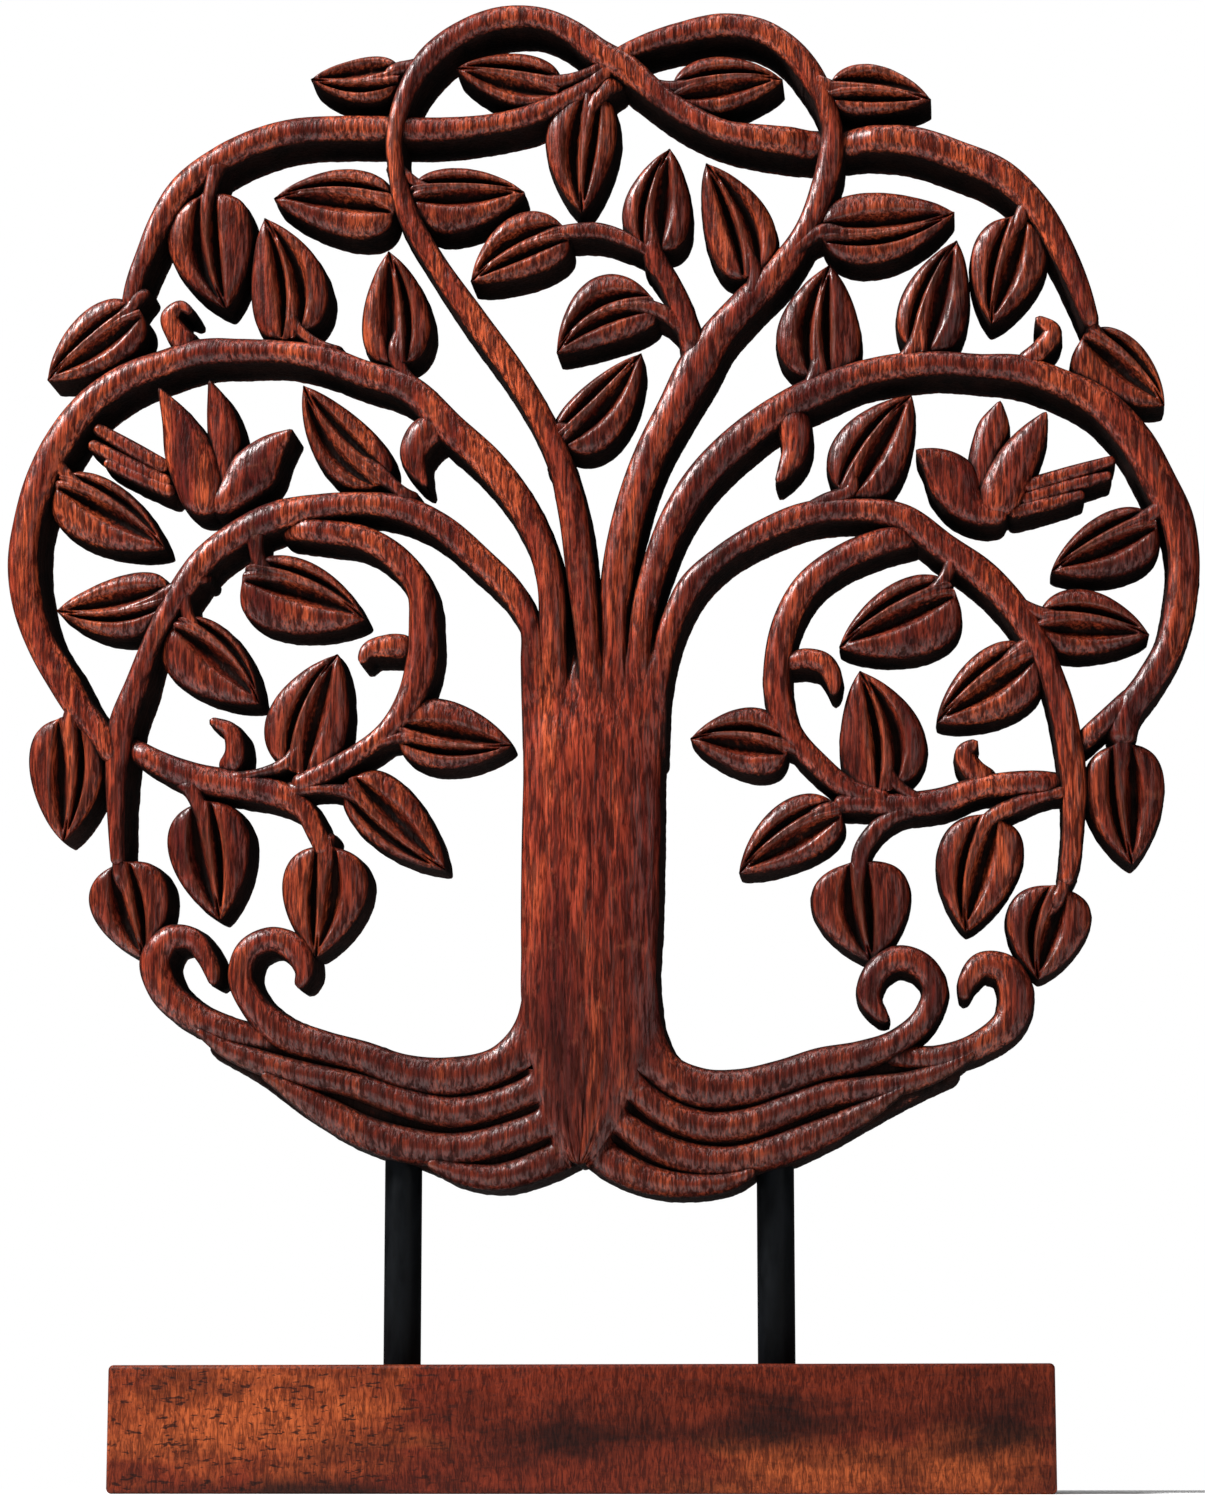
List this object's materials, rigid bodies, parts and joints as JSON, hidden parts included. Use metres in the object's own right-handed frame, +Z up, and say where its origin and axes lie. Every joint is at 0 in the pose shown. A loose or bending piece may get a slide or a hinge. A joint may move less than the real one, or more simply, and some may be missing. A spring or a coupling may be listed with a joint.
{
  "type": "tree of life carving on stand",
  "caption": "Openwork carved wooden tree of life with roots, crossing boughs, leaves and two birds, standing on two black rods in a rectangular wooden base.",
  "frame": {"origin": "centre of the base block's underside, which is also midway between the two rods", "axes": "+Z up, +X to the right of a viewer who faces the carved side, -Y towards that viewer"},
  "size_m": [0.3268, 0.07, 0.4102],
  "materials": {
    "carved_wood": "polished reddish-brown hardwood with dark hollows",
    "base_wood": "waxed orange-brown hardwood",
    "black_rod": "satin black"
  },
  "bodies": {
    "stand": {"base_block": "base_wood", "rod_left": "black_rod", "rod_right": "black_rod"},
    "carving": {"bird_left": "carved_wood", "bird_right": "carved_wood", "centre_twig": "carved_wood", "crown_bough_left": "carved_wood", "crown_bough_right": "carved_wood", "inner_bough_left": "carved_wood", "inner_bough_right": "carved_wood", "leaf_left_1": "carved_wood", "leaf_left_10": "carved_wood", "leaf_left_11": "carved_wood", "leaf_left_12": "carved_wood", "leaf_left_2": "carved_wood", "leaf_left_3": "carved_wood", "leaf_left_4": "carved_wood", "leaf_left_5": "carved_wood", "leaf_left_6": "carved_wood", "leaf_left_7": "carved_wood", "leaf_left_8": "carved_wood", "leaf_left_9": "carved_wood", "leaf_pair_left_1": "carved_wood", "leaf_pair_left_2": "carved_wood", "leaf_pair_left_3": "carved_wood", "leaf_pair_left_4": "carved_wood", "leaf_pair_left_5": "carved_wood", "leaf_pair_left_6": "carved_wood", "leaf_pair_right_1": "carved_wood", "leaf_pair_right_2": "carved_wood", "leaf_pair_right_3": "carved_wood", "leaf_pair_right_4": "carved_wood", "leaf_right_1": "carved_wood", "leaf_right_10": "carved_wood", "leaf_right_11": "carved_wood", "leaf_right_12": "carved_wood", "leaf_right_13": "carved_wood", "leaf_right_2": "carved_wood", "leaf_right_3": "carved_wood", "leaf_right_4": "carved_wood", "leaf_right_5": "carved_wood", "leaf_right_6": "carved_wood", "leaf_right_7": "carved_wood", "leaf_right_8": "carved_wood", "leaf_right_9": "carved_wood", "outer_bough_left": "carved_wood", "outer_bough_right": "carved_wood", "root_left_1": "carved_wood", "root_left_2": "carved_wood", "root_left_3": "carved_wood", "root_left_4": "carved_wood", "root_right_1": "carved_wood", "root_right_2": "carved_wood", "root_right_3": "carved_wood", "root_right_4": "carved_wood", "spiral_bough_left": "carved_wood", "spiral_bough_right": "carved_wood", "trunk": "carved_wood", "twig_left": "carved_wood", "twig_right": "carved_wood"}
  },
  "joints": [
    {"name": "carving_lift", "type": "slide", "parent": "stand", "child": "carving", "axis": [0, 0, 1], "range_m": [0, 0.06]}
  ]
}
